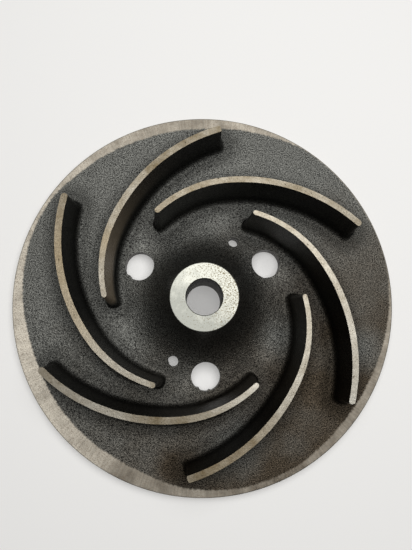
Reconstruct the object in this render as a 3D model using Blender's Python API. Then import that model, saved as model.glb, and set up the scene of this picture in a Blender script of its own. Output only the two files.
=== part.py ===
"""Semi-open pump impeller, cast in one piece of grey iron.

A round back plate carries a flared hub and six swept-back vanes, whose tops
fall away outward on one cone. The plate is pierced by three balance holes and
two small tapped-size holes, and its rim is skimmed in the lathe. Metres, +Z up;
the origin is the middle of the back face and the shaft's axis is Z. The first
vane starts on the -X side.
"""

import math

import bmesh
import bpy
from mathutils import Quaternion, Vector

# Back plate
RIM_RADIUS = 0.140
PLATE_THICKNESS = 0.0105
RIM_CHAMFER = 0.0008
LAND_WIDTH = 0.0085
LAND_DROP = 0.0004

# Hub
BORE_RADIUS = 0.0125
BORE_CHAMFER = 0.0004
HUB_RING_RADIUS = 0.0235
HUB_RISE = 0.038
HUB_EDGE_BREAK = 0.0004
FLARE_RADIUS = 0.040

# Vanes. The middle line of each is two arcs that run into one another: the
# outer one is struck from a centre, the inner one from a point on the line
# between that centre and the place where they meet. The tops lie on a cone,
# which stands this far over the plate at the radius where the vanes end.
VANE_COUNT = 6
VANE_END_RISE = 0.0335
VANE_END_RADIUS = 0.120
VANE_TOP_SLOPE = 0.185
VANE_ARC_CENTRE = Vector((0.0480, 0.0039))
VANE_ARC_RADIUS = 0.1200
VANE_NOSE_RADIUS = 0.0808
VANE_NOSE_START = math.radians(192.6)
VANE_ARCS_MEET = math.radians(155.9)
VANE_ARC_END = math.radians(106.5)
VANE_NOSE_THICKNESS = 0.0034
VANE_THICKNESS = 0.0048
VANE_THICKENING_RUN = 0.090
VANE_DRAFT = 0.0022
VANE_NOSE_RAKE = 0.0014
VANE_TAIL_RAKE = 0.0015
VANE_TAIL_ROUNDNESS = 0.6
FOOT_FILLET = 0.0052
VANE_ROOT = 0.003

# The foot spreads less past a vane's ends than sideways: these are the shares of it.
NOSE_SPREAD = 0.4
TAIL_SPREAD = 0.1

# The core that formed the vanes sat a little to one side in the mould.
CORE_SHIFT = Vector((0.00065, -0.00025))

# Holes through the plate: angle, distance from the axis, radius
BALANCE_HOLE_ANGLES = (math.radians(30), math.radians(150), math.radians(270))
BALANCE_HOLE_PITCH = 0.0543
BALANCE_HOLE_RADIUS = 0.0106
SMALL_HOLE_ANGLES = (math.radians(62), math.radians(242))
SMALL_HOLE_PITCH = 0.0490
SMALL_HOLE_RADIUS = 0.0037

# Fineness of the round shapes
PLATE_STEPS = 108
HUB_FLARE_STEPS = 7
NOSE_ARC_STEPS = 6
TAIL_ARC_STEPS = 12
TIP_STEPS = 4
FILLET_STEPS = 3
BALANCE_HOLE_STEPS = 40
SMALL_HOLE_STEPS = 20
DRILL_OVERRUN = 0.005
WELD_DISTANCE = 1e-6
SHARP_ANGLE = math.radians(32)

CAST_IRON_COLOUR = (0.092, 0.087, 0.080, 1.0)
CAST_IRON_ROUGHNESS = 0.62
CAST_IRON_METALLIC = 0.85


def polar(radius, angle):
    """The flat point at this distance and angle from the origin."""
    return Vector((math.cos(angle), math.sin(angle))) * radius


def clear_scene():
    for obj in list(bpy.data.objects):
        bpy.data.objects.remove(obj)


def cast_iron():
    """Dark grey iron as it leaves the sand."""
    material = bpy.data.materials.new("cast_iron")
    material.use_nodes = True
    shader = material.node_tree.nodes["Principled BSDF"]
    shader.inputs["Base Color"].default_value = CAST_IRON_COLOUR
    shader.inputs["Roughness"].default_value = CAST_IRON_ROUGHNESS
    shader.inputs["Metallic"].default_value = CAST_IRON_METALLIC
    return material


def object_from(bm, name):
    """Closes a bmesh into a named object, its faces pointing out."""
    bmesh.ops.recalc_face_normals(bm, faces=bm.faces)
    mesh = bpy.data.meshes.new(name)
    bm.to_mesh(mesh)
    bm.free()
    obj = bpy.data.objects.new(name, mesh)
    bpy.context.scene.collection.objects.link(obj)
    return obj


def helper(obj):
    """Marks an object that only shapes another one."""
    obj.hide_render = True
    obj.display_type = "WIRE"
    return obj


def flare_points():
    """(radius, height) of the hub's hollow flank, from the ring down to the plate."""
    centre_height = PLATE_THICKNESS + FLARE_RADIUS
    top = PLATE_THICKNESS + HUB_RISE - HUB_EDGE_BREAK
    steepest = math.acos((centre_height - top) / FLARE_RADIUS)
    toe = HUB_RING_RADIUS + FLARE_RADIUS * math.sin(steepest)
    points = []
    for step in range(HUB_FLARE_STEPS + 1):
        lean = steepest * (1 - step / HUB_FLARE_STEPS)
        radius = toe - FLARE_RADIUS * math.sin(lean)
        points.append((radius, centre_height - FLARE_RADIUS * math.cos(lean)))
    return points


def turned_profile():
    """(radius, height) round the half section of hub and plate, from the bore's back edge up."""
    hub_top = PLATE_THICKNESS + HUB_RISE
    land_height = PLATE_THICKNESS - LAND_DROP
    return [
        (BORE_RADIUS + BORE_CHAMFER, 0.0),
        (BORE_RADIUS, BORE_CHAMFER),
        (BORE_RADIUS, hub_top - BORE_CHAMFER),
        (BORE_RADIUS + BORE_CHAMFER, hub_top),
        (HUB_RING_RADIUS - HUB_EDGE_BREAK, hub_top),
        *flare_points(),
        (RIM_RADIUS - LAND_WIDTH, PLATE_THICKNESS),
        (RIM_RADIUS - LAND_DROP, land_height),
        (RIM_RADIUS, land_height - LAND_DROP),
        (RIM_RADIUS, RIM_CHAMFER),
        (RIM_RADIUS - RIM_CHAMFER, 0.0),
    ]


def hub_and_plate():
    """The turned shape: its half section spun once round the shaft's axis."""
    bm = bmesh.new()
    verts = [bm.verts.new((radius, 0.0, height)) for radius, height in turned_profile()]
    edges = [bm.edges.new(pair) for pair in zip(verts, verts[1:] + verts[:1])]
    bmesh.ops.spin(
        bm,
        geom=verts + edges,
        cent=(0, 0, 0),
        axis=(0, 0, 1),
        angle=math.tau,
        steps=PLATE_STEPS,
        use_merge=True,
    )
    bmesh.ops.remove_doubles(bm, verts=bm.verts, dist=WELD_DISTANCE)
    return object_from(bm, "impeller_casting")


def vane_line(nose_rake, tail_rake):
    """(point, unit normal, distance from the nose) along a vane's middle line.

    The rakes lengthen the line at its two ends.
    """
    meet = VANE_ARC_CENTRE + polar(VANE_ARC_RADIUS, VANE_ARCS_MEET)
    nose_centre = meet - polar(VANE_NOSE_RADIUS, VANE_ARCS_MEET)
    start = VANE_NOSE_START + nose_rake / VANE_NOSE_RADIUS
    end = VANE_ARC_END - tail_rake / VANE_ARC_RADIUS
    stations = []
    for step in range(NOSE_ARC_STEPS):
        angle = start + (VANE_ARCS_MEET - start) * step / NOSE_ARC_STEPS
        point = nose_centre + polar(VANE_NOSE_RADIUS, angle)
        stations.append((point, polar(1, angle), (start - angle) * VANE_NOSE_RADIUS))
    nose_run = (start - VANE_ARCS_MEET) * VANE_NOSE_RADIUS
    for step in range(TAIL_ARC_STEPS + 1):
        angle = VANE_ARCS_MEET + (end - VANE_ARCS_MEET) * step / TAIL_ARC_STEPS
        point = VANE_ARC_CENTRE + polar(VANE_ARC_RADIUS, angle)
        run = nose_run + (VANE_ARCS_MEET - angle) * VANE_ARC_RADIUS
        stations.append((point, polar(1, angle), run))
    return stations


def half_thickness(run):
    """Half the vane's thickness at its top, this far from the nose."""
    share = min(run / VANE_THICKENING_RUN, 1.0)
    return (VANE_NOSE_THICKNESS + (VANE_THICKNESS - VANE_NOSE_THICKNESS) * share) / 2


def rounded_end(point, normal, half, reach):
    """Points round a vane's end, from the side that the normal points to across to the other."""
    along = Vector((normal.y, -normal.x))
    turns = [math.pi * turn / TIP_STEPS for turn in range(1, TIP_STEPS)]
    return [point + normal * half * math.cos(turn) + along * reach * math.sin(turn) for turn in turns]


def vane_outline(grow, nose_rake, tail_rake):
    """The closed outline of a vane, this much fatter than its top."""
    line = vane_line(nose_rake, tail_rake)
    outer = [point + normal * (half_thickness(run) + grow) for point, normal, run in line]
    inner = [point - normal * (half_thickness(run) + grow) for point, normal, run in line]
    nose, nose_normal, nose_run = line[0]
    tail, tail_normal, tail_run = line[-1]
    tail_half = half_thickness(tail_run)
    nose_half = half_thickness(nose_run)
    tail_reach = tail_half * VANE_TAIL_ROUNDNESS + grow * TAIL_SPREAD
    tail_end = rounded_end(tail, tail_normal, tail_half + grow, tail_reach)
    nose_end = rounded_end(nose, -nose_normal, nose_half + grow, nose_half + grow * NOSE_SPREAD)
    return outer + tail_end + inner[::-1] + nose_end


def vane_rise(point):
    """Height of the vanes' tops over the plate at a flat point."""
    return VANE_END_RISE + VANE_TOP_SLOPE * (VANE_END_RADIUS - point.length)


def vane_levels():
    """(height above the plate, outward growth) below a vane's top, down to its buried root."""
    levels = []
    for step in range(FILLET_STEPS + 1):
        lean = math.radians(90) * (1 - step / FILLET_STEPS)
        height = FOOT_FILLET * (1 - math.cos(lean))
        grow = FOOT_FILLET * (1 - math.sin(lean))
        levels.append((height, VANE_DRAFT + grow))
    (high, slim), (low, wide) = levels[-2:]
    skirt = VANE_ROOT / 4
    levels[-1] = (-skirt, wide + skirt * (wide - slim) / (high - low))
    levels.append((-VANE_ROOT, levels[-1][1]))
    return levels


def vane_rings():
    """The outlines of the first vane from its top to its root, each a list of points in space."""
    top = [
        Vector((point.x, point.y, PLATE_THICKNESS + vane_rise(point)))
        for point in vane_outline(0.0, 0.0, 0.0)
    ]
    rings = [top]
    for height, grow in vane_levels():
        outline = vane_outline(grow, VANE_NOSE_RAKE, VANE_TAIL_RAKE)
        rings.append([Vector((point.x, point.y, PLATE_THICKNESS + height)) for point in outline])
    return rings


def vane_cage():
    """All the vanes, as closed bars that reach a little way into the plate."""
    bm = bmesh.new()
    side = NOSE_ARC_STEPS + TAIL_ARC_STEPS + 1
    shift = CORE_SHIFT.to_3d()
    for number in range(VANE_COUNT):
        turn = Quaternion((0, 0, 1), -math.tau * number / VANE_COUNT)
        rings = [[bm.verts.new(turn @ point + shift) for point in ring] for ring in vane_rings()]
        for upper, lower in zip(rings, rings[1:]):
            for here in range(len(upper)):
                after = (here + 1) % len(upper)
                bm.faces.new((upper[here], upper[after], lower[after], lower[here]))
        top = rings[0]
        last = 2 * side + TIP_STEPS - 2
        for here in range(side - 1):
            bm.faces.new((top[here], top[here + 1], top[last - here - 1], top[last - here]))
        bm.faces.new(top[side - 1 : side + TIP_STEPS])
        bm.faces.new(top[last:] + top[:1])
        bm.faces.new(rings[-1])
    bmesh.ops.recalc_face_normals(bm, faces=bm.faces)
    bmesh.ops.triangulate(bm, faces=bm.faces)
    return helper(object_from(bm, "vane_cage"))


def drill(name, pitch, angle, radius, steps):
    """A round cutter parallel to the shaft, longer than the hub is tall."""
    bm = bmesh.new()
    length = PLATE_THICKNESS + HUB_RISE + 2 * DRILL_OVERRUN
    bmesh.ops.create_cone(
        bm, cap_ends=True, segments=steps, radius1=radius, radius2=radius, depth=length
    )
    place = polar(pitch, angle)
    middle = Vector((place.x, place.y, length / 2 - DRILL_OVERRUN))
    bmesh.ops.translate(bm, verts=bm.verts, vec=middle)
    return helper(object_from(bm, name))


def drills():
    """One cutter for each hole through the plate."""
    balance = [
        drill(f"balance_drill_{number}", BALANCE_HOLE_PITCH, angle, BALANCE_HOLE_RADIUS, BALANCE_HOLE_STEPS)
        for number, angle in enumerate(BALANCE_HOLE_ANGLES, 1)
    ]
    small = [
        drill(f"small_drill_{number}", SMALL_HOLE_PITCH, angle, SMALL_HOLE_RADIUS, SMALL_HOLE_STEPS)
        for number, angle in enumerate(SMALL_HOLE_ANGLES, 1)
    ]
    return balance + small


def shape_with(obj, tool, operation):
    """Adds an exact Boolean with another object."""
    modifier = obj.modifiers.new(tool.name, "BOOLEAN")
    modifier.object = tool
    modifier.operation = operation
    modifier.solver = "EXACT"


def freeze(obj):
    """Turns what the modifiers make into the object's own mesh, smooth where it is round."""
    graph = bpy.context.evaluated_depsgraph_get()
    mesh = bpy.data.meshes.new_from_object(obj.evaluated_get(graph))
    obj.modifiers.clear()
    obj.data = mesh
    mesh.shade_smooth()
    mesh.set_sharp_from_angle(angle=SHARP_ANGLE)


def main():
    clear_scene()
    casting = hub_and_plate()
    vanes = vane_cage()
    cutters = drills()
    shape_with(casting, vanes, "UNION")
    for cutter in cutters:
        shape_with(casting, cutter, "DIFFERENCE")
    freeze(casting)
    for tool in [vanes, *cutters]:
        bpy.data.objects.remove(tool)
    casting.data.materials.clear()
    casting.data.materials.append(cast_iron())


main()
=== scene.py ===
"""A semi-open pump impeller, cast in one piece of grey iron, dressed for the eye.

One closed mesh stands for the casting. Each form of it is a class that lays its own stretch of
surface into a shared shell: the hub, the back plate, its holes and the six vanes. The shell is
welded, roughened as a sand mould roughens iron, and each stretch takes the finish of the way it
was made: sand-cast, turned, faced, ground, bored or drilled.
"""

import logging
import math
from collections.abc import Callable, Mapping, Sequence
from dataclasses import dataclass, field, replace
from enum import Enum

import bmesh
import bpy
import numpy as np
from mathutils import Matrix, Vector, noise
from mathutils.geometry import delaunay_2d_cdt


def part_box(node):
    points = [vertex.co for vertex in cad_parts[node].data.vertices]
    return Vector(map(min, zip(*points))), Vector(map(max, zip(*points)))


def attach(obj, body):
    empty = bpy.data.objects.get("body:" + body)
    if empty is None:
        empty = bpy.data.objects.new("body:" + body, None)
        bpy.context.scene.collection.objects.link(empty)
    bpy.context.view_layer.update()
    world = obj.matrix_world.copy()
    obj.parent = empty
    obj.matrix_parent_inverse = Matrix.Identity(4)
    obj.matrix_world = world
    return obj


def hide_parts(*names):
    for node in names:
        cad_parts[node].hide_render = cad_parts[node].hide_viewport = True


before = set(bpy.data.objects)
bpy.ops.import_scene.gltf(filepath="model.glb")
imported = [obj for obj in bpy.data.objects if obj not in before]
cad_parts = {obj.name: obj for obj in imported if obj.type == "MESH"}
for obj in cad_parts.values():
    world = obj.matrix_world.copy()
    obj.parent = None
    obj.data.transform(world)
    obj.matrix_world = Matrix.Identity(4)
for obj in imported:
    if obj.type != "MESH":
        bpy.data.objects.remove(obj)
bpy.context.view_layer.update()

NODE = "impeller_casting"
PIECE = "impeller_iron"
BODY = "root"
# Lengths are in metres, and angles in radians where their name doesn't say degrees.
MM = 0.001
WELD = 0.002 * MM
SAME_POINT = 1e-7
# Height of the plate's face round the hub, above its back.
PLATE_TOP = 10.5 * MM
LAND_DEPTH = "land_depth"
BARE_METAL_AND_SHEEN = "bare_metal_and_sheen"
FOOT_DISTANCE = "foot_distance"
RUSTY = "rusty"
BROWNED_AND_SHADED = "browned_and_shaded"
# Sockets that are set together: the ends of a range, those of the range that it is carried to, a random
# pattern's finer layers (how many and how strong), and a colour mix's share and its two colours.
FROM = ("From Min", "From Max")
TO = ("To Min", "To Max")
LAYERS = ("Detail", "Roughness")
MIX = (0, 6, 7)
MIXED = 2
# Takes the height out of a place.
FLATTEN = (1.0, 1.0, 0.0)
# Radius at which marks that run out from the shaft have their stated width.
SPOKE_REACH = 135.0 * MM
log = logging.getLogger("impeller")

Pair = tuple[float, float]
Triple = tuple[float, float, float]
Table = tuple[Pair, ...]
Tree = bpy.types.NodeTree
Socket = bpy.types.NodeSocket


class Surface(Enum):
    """How a stretch of the casting was made, in the order of the material slots."""

    SAND_CAST = 0
    PLATE_FACE = 1
    TURNED = 2
    FACED = 3
    GROUND = 4
    BORED = 5
    DRILLED = 6


class Marks(Enum):
    """The way a tool's marks run over a cut surface."""

    RINGS = "round the shaft"
    SPOKES = "out from the shaft"
    NONE = "no way in particular"


def polar(radius: float | np.ndarray, angle: float | np.ndarray) -> np.ndarray:
    """Flat points at these distances and angles from the shaft's axis."""
    return np.stack([radius * np.cos(angle), radius * np.sin(angle)], axis=-1)


def raised(flat: np.ndarray, height: float | np.ndarray) -> np.ndarray:
    """Flat points lifted to this height."""
    return np.column_stack([flat, np.broadcast_to(height, len(flat))])


def circle(radius: float, steps: int) -> np.ndarray:
    """A flat circle of points round the shaft's axis."""
    return polar(radius, np.arange(steps) * math.tau / steps)


def smooth(value: np.ndarray, low: float, high: float) -> np.ndarray:
    """Runs smoothly from 0 at low to 1 at high."""
    share = np.clip((value - low) / (high - low), 0.0, 1.0)
    return share * share * (3.0 - 2.0 * share)


def round_the_rim(flat: np.ndarray, table: Table) -> np.ndarray:
    """Reads a table of angles in degrees and values in the direction of flat points."""
    degrees, values = zip(*table)
    return np.interp(np.degrees(np.arctan2(*flat.T[::-1])), degrees, values, period=360)


def hex_grid(reach: float, spacing: float) -> np.ndarray:
    """Lays flat points in staggered rows over a square.

    Args:
        reach: How far the square reaches each way from the shaft's axis.
        spacing: The distance between neighbours.

    Returns:
        The flat points.
    """
    rows = np.arange(-reach, reach, spacing * math.sqrt(3) / 2)
    across = np.arange(-reach, reach, spacing)
    shift = np.where(np.arange(len(rows)) % 2 == 0, 0.0, spacing / 2)
    along, up = np.meshgrid(across, rows)
    return np.stack([along + shift[:, None], up], axis=-1).reshape(-1, 2)


def filled(outer: np.ndarray, holes: Sequence[np.ndarray], inner: np.ndarray) -> tuple[np.ndarray, list]:
    """Fills a flat region with triangles that follow its borders.

    Args:
        outer: The closed loop round the region.
        holes: Closed loops that are left open inside it.
        inner: Flat points inside the region, off its borders.

    Returns:
        The flat points, and the triangles between them.
    """
    loops, start = [], 0
    for border in (outer, *holes):
        ahead = np.roll(border, -1, axis=0)
        leftward = (border[:, 0] * ahead[:, 1] - ahead[:, 0] * border[:, 1]).sum() > 0
        loop = list(range(start, start + len(border)))
        loops.append(loop if leftward else loop[::-1])
        start += len(border)
    flat = [Vector(point) for point in np.vstack([outer, *holes, inner])]
    points, _, faces, _, _, regions = delaunay_2d_cdt(flat, [], loops, 0, SAME_POINT, True)
    # A triangle that lies in the outer loop alone is outside every hole.
    kept = [face for face, within in zip(faces, regions) if list(within) == [0]]
    return np.array([tuple(point) for point in points]), kept


def add_object(name: str, data: bpy.types.ID) -> bpy.types.Object:
    """Adds an object to the scene.

    Args:
        name: The object's name.
        data: The mesh, lamp or lens that it shows or is.

    Returns:
        The new object.
    """
    obj = bpy.data.objects.new(name, data)
    bpy.context.scene.collection.objects.link(obj)
    return obj


@dataclass
class Shell:
    """The casting's surface, laid patch by patch and welded where the patches meet."""

    points: list[np.ndarray] = field(default_factory=list)
    faces: list[tuple[int, ...]] = field(default_factory=list)
    surfaces: list[int] = field(default_factory=list)
    count: int = 0

    def add(self, points: np.ndarray, faces: Sequence[Sequence[int]], surface: Surface) -> None:
        """Adds one patch.

        Args:
            points: The patch's points, one row each.
            faces: Its faces, as rows of indices into those points.
            surface: How that stretch was made.
        """
        self.points.append(points)
        self.faces.extend(tuple(index + self.count for index in face) for face in faces)
        self.surfaces.extend([surface.value] * len(faces))
        self.count += len(points)

    def strip(self, loops: Sequence[np.ndarray], surface: Surface) -> None:
        """Adds the band of four-sided faces between closed loops of equal length.

        Args:
            loops: The loops, in order from one edge of the band to the other.
            surface: How that stretch was made.
        """
        steps = len(loops[0])
        here = np.arange(steps)
        after = (here + 1) % steps
        rows = [
            np.column_stack([row + here, row + after, row + steps + after, row + steps + here])
            for row in range(0, steps * (len(loops) - 1), steps)
        ]
        self.add(np.vstack(loops), np.vstack(rows).tolist(), surface)

    def to_object(self, name: str) -> bpy.types.Object:
        """Welds the patches into one closed mesh.

        Args:
            name: The name of the new object.

        Returns:
            The object, its faces pointing out and each face in the slot of its surface.
        """
        mesh = bpy.data.meshes.new(name)
        mesh.from_pydata(np.vstack(self.points).tolist(), [], self.faces)
        mesh.polygons.foreach_set("material_index", self.surfaces)
        work = bmesh.new()
        work.from_mesh(mesh)
        bmesh.ops.remove_doubles(work, verts=work.verts, dist=WELD)
        bmesh.ops.recalc_face_normals(work, faces=work.faces)
        open_edges = sum(not edge.is_manifold for edge in work.edges)
        work.to_mesh(mesh)
        work.free()
        mesh.calc_loop_triangles()
        log.info("%s: %d triangles, %d open edges", name, len(mesh.loop_triangles), open_edges)
        return add_object(name, mesh)


@dataclass
class Hub:
    """The bored boss in the middle: a faced ring on top, and a hollow flank that flares into the plate."""

    top: float = 48.5 * MM
    plate_top: float = PLATE_TOP
    bore_radius: float = 12.5 * MM
    chamfer: float = 0.4 * MM
    ring_radius: float = 23.5 * MM
    edge_break: float = 0.35 * MM
    flare_radius: float = 40.0 * MM
    skirt_radius: float = 42.0 * MM
    steps: int = 240
    ring_rows: int = 8
    flank_rows: int = 22
    bore_rows: int = 10

    def toe(self) -> float:
        """The radius at which the flank has run out into the flat plate."""
        drop = self.plate_top + self.flare_radius - (self.top - self.edge_break)
        return self.ring_radius + math.sqrt(self.flare_radius**2 - drop**2)

    def flank_height(self, radius: np.ndarray) -> np.ndarray:
        """Height of the hollow flank, and of the flat plate beyond its toe."""
        inward = np.clip(self.toe() - radius, 0.0, self.flare_radius)
        return self.plate_top + self.flare_radius - np.sqrt(self.flare_radius**2 - inward**2)

    def skirt(self) -> np.ndarray:
        """The flat loop where the flank's rows hand over to the plate's face."""
        return circle(self.skirt_radius, self.steps)

    def mouth_radius(self) -> float:
        """Radius of the bore at the outside of its chamfers."""
        return self.bore_radius + self.chamfer

    def level(self, radius: float, height: float) -> np.ndarray:
        """A circle of the hub's points at this height."""
        return raised(circle(radius, self.steps), height)

    def build(self, shell: Shell) -> None:
        """Lays the bore, the ring and the flank.

        Args:
            shell: The surface that they are added to.
        """
        low, high = (self.level(self.mouth_radius(), height) for height in (0.0, self.top))
        heights = np.linspace(self.chamfer, self.top - self.chamfer, self.bore_rows)
        shell.strip([low, *(self.level(self.bore_radius, height) for height in heights), high], Surface.BORED)
        outer = self.ring_radius - self.edge_break
        radii = np.linspace(self.mouth_radius(), outer, self.ring_rows)
        shell.strip([self.level(radius, self.top) for radius in radii], Surface.FACED)
        ends = [
            math.asin((self.toe() - radius) / self.flare_radius)
            for radius in (self.ring_radius, self.skirt_radius)
        ]
        radii = self.toe() - self.flare_radius * np.sin(np.linspace(*ends, self.flank_rows))
        flank = [self.level(radius, self.flank_height(radius)) for radius in radii]
        shell.strip([self.level(outer, self.top), flank[0]], Surface.FACED)
        shell.strip(flank, Surface.SAND_CAST)


@dataclass(frozen=True)
class Flaw:
    """A lip of iron that stands into a hole, or a nick in its edge where the height is below zero."""

    angle: float
    height: float
    width: float


@dataclass
class PlateHole:
    """A round hole through the back plate."""

    pitch: float
    angle: float
    radius: float
    steps: int
    flaws: tuple[Flaw, ...] = ()
    rows: int = 8

    def centre(self) -> np.ndarray:
        """The hole's middle, seen from above."""
        return polar(self.pitch, self.angle)

    def outline(self) -> np.ndarray:
        """Draws the hole's edge.

        Returns:
            The flat outline, with its flaws.
        """
        angles = np.arange(self.steps) * math.tau / self.steps
        radii = np.full(self.steps, self.radius)
        for flaw in self.flaws:
            away = (angles - flaw.angle + math.pi) % math.tau - math.pi
            radii -= flaw.height * np.exp(-((away * self.radius / flaw.width) ** 2))
        return self.centre() + polar(radii, angles)

    def clear(self, flat: np.ndarray, margin: float) -> np.ndarray:
        """Says for each flat point whether it lies this far outside the hole."""
        return np.hypot(*(flat - self.centre()).T) > self.radius + margin

    def build(self, shell: Shell, rim: np.ndarray) -> None:
        """Lays the hole's wall.

        Args:
            shell: The surface that it is added to.
            rim: The hole's upper edge, in space.
        """
        shares = np.linspace(1.0, 0.0, self.rows)
        shell.strip([raised(rim[:, :2], rim[:, 2] * share) for share in shares], Surface.DRILLED)


@dataclass
class Vane:
    """A swept-back vane: two tangent arcs long, drafted, filleted at its foot and ground on top."""

    number: int
    ceiling: float
    plate_top: float = PLATE_TOP
    end_rise: float = 33.5 * MM
    end_radius: float = 120.0 * MM
    top_slope: float = 0.185
    count: int = 6
    arc_centre: Pair = (48.0 * MM, 3.9 * MM)
    arc_radius: float = 120.0 * MM
    nose_radius: float = 80.8 * MM
    nose_degrees: float = 192.7
    meet_degrees: float = 155.9
    end_degrees: float = 106.4
    # How far out from the arcs its middle line lies at the inner and the outer end.
    nose_shift: float = 0.0
    tail_shift: float = 0.0
    nose_thickness: float = 3.4 * MM
    thickness: float = 4.8 * MM
    nose_length: float = 90.0 * MM
    draft: float = 2.2 * MM
    nose_rake: float = 2.2 * MM
    tail_rake: float = -0.6 * MM
    fillet: float = 5.2 * MM
    # How far the foot spreads past the vane's ends, as a share of how far it spreads sideways.
    nose_spread: float = 0.4
    tail_spread: float = 0.6
    # Share of the foot's spread that the outer side has at the nose, and where it reaches the whole.
    outer_share: float = 0.5
    outer_run: float = 25.0 * MM
    tail_roundness: float = 0.8
    # How far the cored part of the casting sits off the shaft's axis.
    core_shift: Pair = (0.65 * MM, -0.25 * MM)
    # Share of the way from nose to tail, with how bare and bright the ground top is there, or how tanned.
    # The brightness is partly bare ground metal and partly painted highlight.
    ground: Table = ((0.0, 0.0),)
    tanned: Table = ((0.0, 0.0),)
    # How rusty its walls are at the inner end, and where that fades along it and towards the plate.
    rusty_nose: float = 0.0
    rusty_run: Pair = (20.0 * MM, 125.0 * MM)
    rusty_rise: Pair = (4.0 * MM, 20.0 * MM)
    spacing: float = 1.25 * MM
    cap_steps: int = 8
    wall_rows: int = 13
    fillet_rows: int = 6

    def line(self, depth: float) -> tuple[np.ndarray, np.ndarray, np.ndarray]:
        """The vane's middle line at one level.

        Args:
            depth: How far down the level is, from 0 at the top to 1 at the foot.

        Returns:
            Flat points, unit normals, and distances from the nose.
        """
        nose_angle, meet_angle, end_angle = np.radians(
            [self.nose_degrees, self.meet_degrees, self.end_degrees]
        )
        centre = np.array(self.arc_centre)
        meet = centre + polar(self.arc_radius, meet_angle)
        nose_centre = meet - polar(self.nose_radius, meet_angle)
        start = nose_angle + self.nose_rake * depth / self.nose_radius
        end = end_angle - self.tail_rake * depth / self.arc_radius
        nose_steps = round((nose_angle - meet_angle) * self.nose_radius / self.spacing)
        arc_steps = round((meet_angle - end_angle) * self.arc_radius / self.spacing)
        nose = np.linspace(start, meet_angle, nose_steps, endpoint=False)
        arc = np.linspace(meet_angle, end, arc_steps)
        arc_points = centre + polar(self.arc_radius, arc)
        points = np.vstack([nose_centre + polar(self.nose_radius, nose), arc_points])
        runs = np.concatenate([[0.0], np.hypot(*np.diff(points, axis=0).T).cumsum()])
        normals = polar(1.0, np.concatenate([nose, arc]))
        shifts = self.nose_shift + (self.tail_shift - self.nose_shift) * runs / runs[-1]
        return points + normals * shifts[:, None], normals, runs

    def half(self, runs: np.ndarray) -> np.ndarray:
        """Half the thickness of the ground top, this far from the nose."""
        share = smooth(runs, 0.0, self.nose_length)
        return (self.nose_thickness + (self.thickness - self.nose_thickness) * share) / 2

    def cap(self, point: np.ndarray, normal: np.ndarray, half: float, reach: float) -> np.ndarray:
        """Draws the round of one of the vane's ends.

        Args:
            point: Where the middle line ends.
            normal: The flat direction from there to the side that the round starts from.
            half: Half the thickness there.
            reach: How far the round stands out past the point.

        Returns:
            Flat points from that side across to the other, without the sides' own points.
        """
        turns = np.arange(1, self.cap_steps)[:, None] * math.pi / self.cap_steps
        along = np.array([normal[1], -normal[0]])
        return point + half * np.cos(turns) * normal + reach * np.sin(turns) * along

    def outline(self, grow: float, depth: float) -> np.ndarray:
        """The vane's flat outline at one level, in its place.

        Args:
            grow: How much fatter than at the top it is on each side.
            depth: How far down the level is, from 0 at the top to 1 at the foot.

        Returns:
            The outline's points, in order: one side, the tail, the other side, the nose.
        """
        points, normals, runs = self.line(depth)
        half = self.half(runs)
        spread = grow * (self.outer_share + (1 - self.outer_share) * smooth(runs, 0.0, self.outer_run))
        outer = points + normals * (half + spread)[:, None]
        inner = points - normals * (half + grow)[:, None]
        tail_reach = half[-1] * self.tail_roundness + grow * self.tail_spread
        tail = self.cap(points[-1], normals[-1], half[-1] + grow, tail_reach)
        nose_half = half[0] + (grow + spread[0]) / 2
        nose_reach = half[0] + grow * self.nose_spread
        nose = self.cap((outer[0] + inner[0]) / 2, -normals[0], nose_half, nose_reach)
        return self.placed(np.vstack([outer, tail, inner[::-1], nose]))

    def placed(self, flat: np.ndarray) -> np.ndarray:
        """Flat points turned from the first vane's place to this one's."""
        along, across = polar(1.0, -math.tau * self.number / self.count)
        return flat @ np.array([[along, across], [-across, along]]) + np.array(self.core_shift)

    def top_height(self, flat: np.ndarray) -> np.ndarray:
        """Height of the cone that the vanes' tops lie on, over flat points."""
        rise = self.end_rise + self.top_slope * (self.end_radius - np.hypot(*flat.T))
        return np.minimum(self.plate_top + rise, self.ceiling)

    def levels(self) -> list[Triple]:
        """The levels from the top to the fillet's toe.

        Returns:
            For each level its share of the wall above the fillet, the height of the fillet under
            it, and how much fatter than the top it is.
        """
        shares = np.linspace(1.0, 0.0, self.wall_rows)
        levels = [(share, self.fillet, self.draft * (1 - share)) for share in shares]
        for lean in np.linspace(0.0, math.pi / 2, self.fillet_rows + 1)[1:]:
            grow = self.draft + self.fillet * (1 - math.cos(lean))
            levels.append((0.0, self.fillet * (1 - math.sin(lean)), grow))
        return levels

    def foot(self) -> np.ndarray:
        """The flat outline of the fillet's toe."""
        return self.outline(self.levels()[-1][2], 1.0)

    def distance(self, flat: np.ndarray) -> np.ndarray:
        """Measures how far flat points lie from the vane's foot.

        Args:
            flat: The flat points.

        Returns:
            Their distances from the foot's widest outline, below zero inside it.
        """
        nearest = np.full(len(flat), np.inf)
        for station in self.placed(self.line(1.0)[0]):
            np.minimum(nearest, np.hypot(*(flat - station).T), out=nearest)
        return nearest - self.thickness / 2 - self.levels()[-1][2]

    def clear(self, flat: np.ndarray, margin: float) -> np.ndarray:
        """Says for each flat point whether it lies this far outside the vane's foot."""
        return self.distance(flat) > margin

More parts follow.
